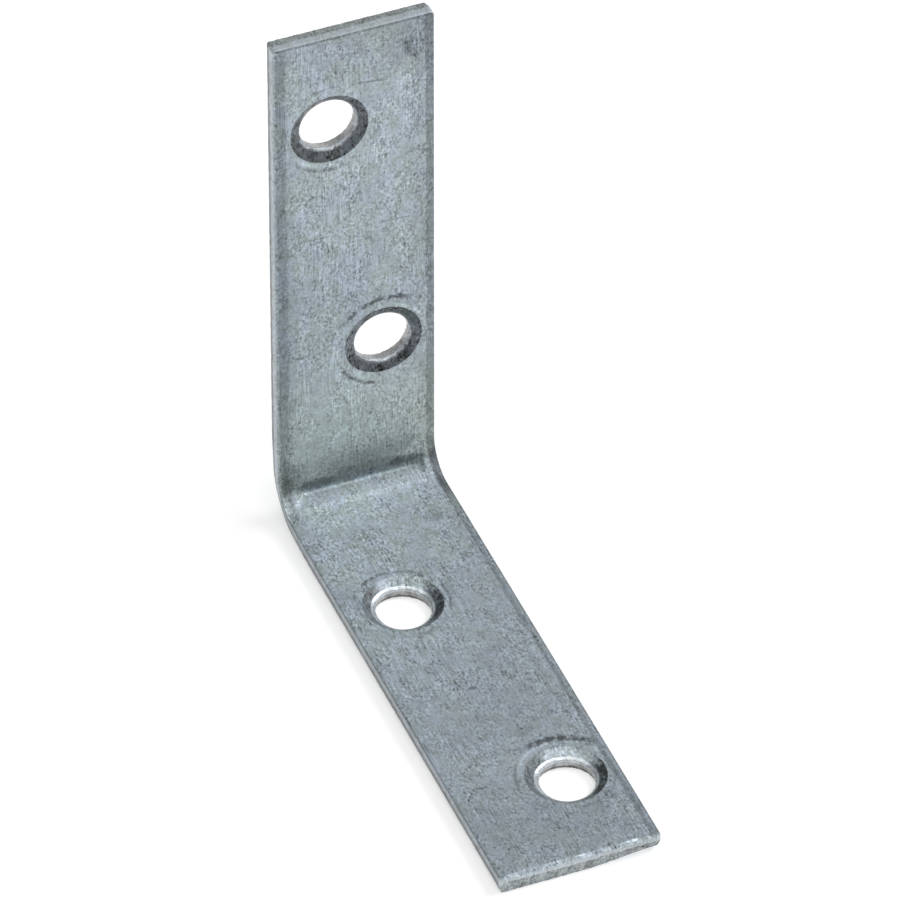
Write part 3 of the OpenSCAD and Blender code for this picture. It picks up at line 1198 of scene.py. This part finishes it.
@dataclass(frozen=True)
class HoleShade:
    """Painted shade and painted light round a hole's wall: its lightest side, in degrees, and its two tones. A tone
    above 1 is a painted highlight.
    """

    along: float
    y: float
    turn: float
    dark: float
    light: float


@dataclass(frozen=True)
class DepthTone:
    """A change of tone on the holes' walls past some depth, as (depth, tone) for each leg's holes. A tone below 1
    darkens; a tone above 1 is a painted highlight.
    """

    upright: Point
    foot: Point
    above: bool


@dataclass(frozen=True)
class HoleFinish(ZincFinish):
    """The finish of a part of the holes' walls, with painted shade and painted light by side round each hole, arcs of
    painted shade, and a change of tone past some depth.
    """

    shades: tuple[HoleShade, ...] = ()
    shade_arcs: tuple[PaintedArc, ...] = ()
    centres: tuple[tuple[str, float, float], ...] = ()
    depth_tone: DepthTone | None = None
    upright_texture: float = 1.0
    reach: float = 5.0

    def wear(self, graph: Graph, blank: bpy.types.NodeSocket, tone: bpy.types.NodeSocket,
             marks: "MarkGroups") -> bpy.types.NodeSocket:
        """Paints shade and light on each hole's wall by side, adds the arcs of painted shade and changes the tone
        past some depth.

        Args:
            graph: The material's graph.
            blank: Place on the blank.
            tone: The coat's tone so far.
            marks: The shared groups for marks.

        Returns:
            The tone with the painted shade and light in it.
        """
        place = graph.add("ShaderNodeSeparateXYZ", {0: blank}).outputs
        on_upright = graph.math("GREATER_THAN", place["X"], 0.0)
        texture = graph.ramp(on_upright, 0.0, 1.0, 1.0, self.upright_texture)
        tone = graph.math("ADD", graph.math("MULTIPLY", graph.math("SUBTRACT", tone, 1.0), texture), 1.0)
        # Painted shade and painted light by side round each hole.
        for shade in self.shades:
            turn = math.radians(shade.turn)
            light_side = (math.cos(turn), math.sin(turn), 0.0)
            node = graph.add("ShaderNodeGroup", {
                "Blank": blank, "Centre": (shade.along, shade.y, 0.0), "Light Side": light_side,
                "Dark": shade.dark, "Light": shade.light, "Reach": self.reach,
            }, node_tree=marks.side)
            tone = graph.math("MULTIPLY", tone, node.outputs["Factor"])
        # Arcs of painted shade.
        for arc in self.shade_arcs:
            centre = next((along, y, 0.0) for name, along, y in self.centres if name == arc.hole)
            loss = graph.math("MULTIPLY", marks.arc_mask(graph, blank, arc, centre), arc.strength)
            tone = graph.math("MULTIPLY", tone, graph.math("SUBTRACT", 1.0, loss))
        # Past some depth: darker for a tone below 1, a painted highlight for a tone above 1.
        if self.depth_tone:
            depth, past = (graph.ramp(on_upright, 0.0, 1.0, foot, upright)
                           for foot, upright in zip(self.depth_tone.foot, self.depth_tone.upright))
            ragged = graph.math("MULTIPLY", graph.centred(graph.noise(blank, (2.2, 2.2, 2.2), 3.0, 31.0)), 0.5)
            off = graph.math("SUBTRACT", graph.total(place["Z"], ragged), depth)
            mask = graph.ramp(off, -0.03, 0.03) if self.depth_tone.above else graph.ramp(off, 0.03, -0.03)
            loss = graph.math("MULTIPLY", mask, graph.math("SUBTRACT", 1.0, past))
            tone = graph.math("MULTIPLY", tone, graph.math("SUBTRACT", 1.0, loss))
        return tone


DISH_LEANS = {
    "upright_outer_hole": (0.4, 160.0),
    "upright_inner_hole": (0.6, -60.0),
    "foot_outer_hole": (0.5, 60.0),
    "foot_inner_hole": (0.4, 0.0),
}
SINK_SHIFTS = {
    "upright_outer_hole": (0.0, -0.09),
    "upright_inner_hole": (0.21, -0.1),
    "foot_outer_hole": (0.0, 0.0),
    "foot_inner_hole": (0.0, 0.08),
}

FOOT_PRESS = 0.24


class Bracket:
    """The whole bracket: one blanked and bent steel strip with a zinc coat."""

    def __init__(self, record: dict) -> None:
        """Takes the sizes and the holes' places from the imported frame.

        Args:
            record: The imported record, whose bore mounts give the holes.
        """
        low, high = (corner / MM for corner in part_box(NODE))
        self.strip = Strip(width=high.y - low.y, upright=high.z, foot=high.x)
        self.bend = Bend(self.strip)
        self.holes = {mount["name"]: self._hole(mount) for mount in record["mounts"] if mount["kind"] == "bore"}

    def _hole(self, mount: dict) -> ScrewHole:
        """Makes the hole that a bore mount stands for."""
        x, y, z = (value / MM for value in mount["pos_m"])
        upright = abs(mount["axis"][0]) > 0.5
        lean, turn = DISH_LEANS[mount["name"]]
        return ScrewHole(along=self.bend.flat_place(z if upright else x, upright), y=y,
                         radius=mount["dims"]["r_mm"], dish_lean=lean, dish_turn=turn,
                         sink_shift=SINK_SHIFTS[mount["name"]], press=0.0 if upright else FOOT_PRESS)

    def _shades(self, upright: Shade, foot: Shade) -> tuple[HoleShade, ...]:
        """The painted shade and painted light by side on one part of every hole's wall.

        Args:
            upright: Lightest side in degrees, dark tone and light tone of the holes in the upright leg.
            foot: The same for the foot leg.

        Returns:
            A shade for each hole.
        """
        return tuple(HoleShade(hole.along, hole.y, *(upright if hole.along > 0.0 else foot))
                     for hole in self.holes.values())

    def _finishes(self) -> list[ZincFinish]:
        """The finish of each zone, in the zones' order."""
        centres = tuple((name, hole.along, hole.y) for name, hole in self.holes.items())
        ends = (self.bend.flat_place(self.strip.foot, False), self.bend.flat_place(self.strip.upright, True))
        smooth = {"streaks": 0.0, "flecks": 0.2, "relief": 0.006}
        return [
            FaceFinish("zinc_face", half_width=self.strip.half, thickness=self.strip.thickness, centres=centres,
                       top=ends[1], flecks=0.42, mottle=0.7),
            EdgeFinish("zinc_burnished", warm=(0.65, 0.715, 0.745), cool=(0.64, 0.715, 0.785), roughness=0.45,
                       grain=1.0, half_width=self.strip.half, ends=ends, **smooth),
            EdgeFinish("zinc_torn", warm=(0.385, 0.42, 0.425), cool=(0.42, 0.46, 0.475), roughness=0.65, grain=2.4,
                       mottle=1.3, relief=0.05, half_width=self.strip.half, ends=ends, side_tone=0.7,
                       long_tone=0.85, foot_tone=0.85),
            # The upright's countersinks are darker all round; round every hole the tones by side are painted shade
            # and light, above 1 a painted highlight.
            HoleFinish("zinc_sink", metallic=0.3, roughness=0.5, grain=2.2, mottle=1.6, streaks=0.8, flecks=0.5,
                       relief=0.016, upright_texture=1.9,
                       shade_arcs=SINK_SHADE_ARCS, centres=centres,
                       shades=self._shades((-45.0, 0.26, 0.36), (30.0, 0.44, 1.1))),
            # The lips' near-white colour is partly a burnished rim and partly a painted highlight, and so is the foot
            # lips' brightening past depth 0.96; the tones by side are painted shade and light.
            HoleFinish("zinc_lip", warm=(0.8, 0.87, 0.9), cool=(0.79, 0.86, 0.93), metallic=0.3, roughness=0.35,
                       grain=1.2, mottle=1.0, depth_tone=DepthTone((1.0, 0.36), (0.96, 1.5), True),
                       shades=self._shades((180.0, 0.6, 0.82), (10.0, 0.45, 0.85)), **smooth),
            # The bores' light colour is partly painted light; the tones by side are painted shade and light, and the
            # walls darken near the outer face.
            HoleFinish("zinc_bore", warm=(0.74, 0.74, 0.74), cool=(0.73, 0.75, 0.77), metallic=0.3, roughness=0.5,
                       grain=1.2, mottle=1.4, depth_tone=DepthTone((0.1, 0.4), (0.38, 0.35), False),
                       shades=self._shades((180.0, 0.85, 1.0), (0.0, 0.42, 0.56)), **smooth),
        ]

    def build(self) -> bpy.types.Object:
        """Builds the strip and dresses it.

        Returns:
            The finished piece, riding on the frame.
        """
        blank = Blank(self.strip, self.bend, list(self.holes.values()), ShearedEdge(self.strip.thickness))
        piece = bpy.data.objects.new("corner_brace", blank.bent_mesh())
        bpy.context.scene.collection.objects.link(piece)
        coat, marks = ZincCoat(), MarkGroups()
        for finish in self._finishes():
            piece.data.materials.append(finish.material(coat, marks))
        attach(piece, "root")
        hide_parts(NODE)
        triangles = sum(len(polygon.vertices) - 2 for polygon in piece.data.polygons)
        log.info("corner_brace: %d points, %d triangles", len(piece.data.vertices), triangles)
        return piece


@dataclass(frozen=True)
class Camera:
    """The camera at the photograph's angle, in degrees and metres."""

    azimuth: float = 68.0791
    elevation: float = 41.2945
    roll: float = 0.0096
    distance: float = 0.9736733
    right: float = 0.0082979
    up: float = 0.0028598
    lens: float = 470.15

    def build(self) -> bpy.types.Object:
        """Makes the camera and gives it to the scene."""
        azimuth, elevation, roll = (math.radians(a) for a in (self.azimuth, self.elevation, self.roll))
        back = Vector((math.sin(azimuth) * math.cos(elevation), -math.cos(azimuth) * math.cos(elevation),
                       math.sin(elevation)))
        across = Vector((math.cos(azimuth), math.sin(azimuth), 0.0))
        upward = back.cross(across)
        right = math.cos(roll) * across + math.sin(roll) * upward
        up = math.cos(roll) * upward - math.sin(roll) * across
        data = bpy.data.cameras.new("camera")
        data.lens = self.lens
        data.sensor_width = 36.0
        data.clip_start = 0.01
        data.clip_end = 20.0
        camera = bpy.data.objects.new("camera", data)
        place = right * self.right + up * self.up + back * self.distance
        camera.matrix_world = Matrix.Translation(place) @ Matrix((right, up, back)).transposed().to_4x4()
        bpy.context.scene.collection.objects.link(camera)
        bpy.context.scene.camera = camera
        return camera


@dataclass(frozen=True)
class Softbox:
    """A square lamp that looks at the bracket from a dome round it, in degrees, metres and watts."""

    name: str
    azimuth: float
    elevation: float
    power: float
    size: float = 0.6
    distance: float = 1.0

    def build(self, target: Vector) -> bpy.types.Object:
        """Makes the lamp.

        Args:
            target: The point that it looks at.

        Returns:
            The lamp's object.
        """
        azimuth, elevation = math.radians(self.azimuth), math.radians(self.elevation)
        toward = Vector((math.cos(azimuth) * math.cos(elevation), math.sin(azimuth) * math.cos(elevation),
                         math.sin(elevation)))
        data = bpy.data.lights.new(self.name, "AREA")
        data.shape = "SQUARE"
        data.size = self.size
        data.energy = self.power
        lamp = bpy.data.objects.new(self.name, data)
        turned = toward.to_track_quat("Z", "Y").to_matrix().to_4x4()
        lamp.matrix_world = Matrix.Translation(target + toward * self.distance) @ turned
        bpy.context.scene.collection.objects.link(lamp)
        return lamp


@dataclass(frozen=True)
class Studio:
    """A pale floor under soft lamps and a dim sky."""

    floor_size: float = 3.0
    floor_gap: float = 0.00002
    floor_colour: tuple[float, float, float] = (0.7, 0.7, 0.7)
    floor_glow: float = 0.52
    sky: tuple[tuple[float, float], ...] = ((0.0, 0.03), (0.6, 0.05), (1.0, 0.1))
    target: tuple[float, float, float] = (0.015, 0.0, 0.02)
    lamps: tuple[Softbox, ...] = (Softbox("front_lamp", 0.0, 45.0, 2.5), Softbox("right_lamp", 90.0, 45.0, 6.1),
                                  Softbox("top_lamp", 0.0, 89.0, 1.8), Softbox("left_lamp", -90.0, 45.0, 1.5))

    def _floor(self) -> bpy.types.Object:
        """Makes the floor just below the bracket."""
        bm = bmesh.new()
        bmesh.ops.create_grid(bm, x_segments=1, y_segments=1, size=self.floor_size / 2.0)
        bmesh.ops.translate(bm, verts=bm.verts, vec=(0.0, 0.0, -self.floor_gap))
        mesh = bpy.data.meshes.new("floor")
        bm.to_mesh(mesh)
        bm.free()
        material = bpy.data.materials.new("floor")
        material.use_nodes = True
        shader = next(node for node in material.node_tree.nodes if node.type == "BSDF_PRINCIPLED")
        shader.inputs["Base Color"].default_value = (*self.floor_colour, 1.0)
        shader.inputs["Roughness"].default_value = 0.9
        shader.inputs["Emission Color"].default_value = (1.0, 1.0, 1.0, 1.0)
        shader.inputs["Emission Strength"].default_value = self.floor_glow
        mesh.materials.append(material)
        floor = bpy.data.objects.new("floor", mesh)
        bpy.context.scene.collection.objects.link(floor)
        return floor

    def _sky(self) -> None:
        """Lights the scene a little from all round."""
        world = bpy.data.worlds.new("sky")
        world.use_nodes = True
        bpy.context.scene.world = world
        graph = Graph(world.node_tree)
        background = next(node for node in graph.tree.nodes if node.type == "BACKGROUND")
        direction = graph.add("ShaderNodeTexCoord").outputs["Generated"]
        height = graph.add("ShaderNodeSeparateXYZ", {0: direction}).outputs["Z"]
        ramp = graph.add("ShaderNodeValToRGB", {"Fac": height})
        stops = ramp.color_ramp.elements
        brightest = max(value for _, value in self.sky)
        for index, (place, value) in enumerate(self.sky):
            stop = stops[index] if index < 2 else stops.new(place)
            stop.position = place
            stop.color = (*([value / brightest] * 3), 1.0)
        graph.feed(background.inputs["Color"], ramp.outputs["Color"])
        background.inputs["Strength"].default_value = brightest

    def build(self) -> None:
        """Makes the floor, the lamps and the sky."""
        self._floor()
        self._sky()
        for lamp in self.lamps:
            lamp.build(Vector(self.target))
        bpy.context.scene.view_settings.view_transform = "Standard"
        log.info("studio: floor, sky and %d lamps", len(self.lamps))


def corners(box: Sequence[Vector]) -> list[list[float]]:
    """A box's two corners as plain lists."""
    return [list(corner) for corner in box]


def main() -> None:
    """Builds the bracket, the camera and the studio."""
    logging.basicConfig(level=logging.INFO, format="%(name)s: %(message)s")
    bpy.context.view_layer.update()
    Bracket(frame["record"]).build()
    Camera().build()
    Studio().build()


if __name__ == "__main__":
    main()
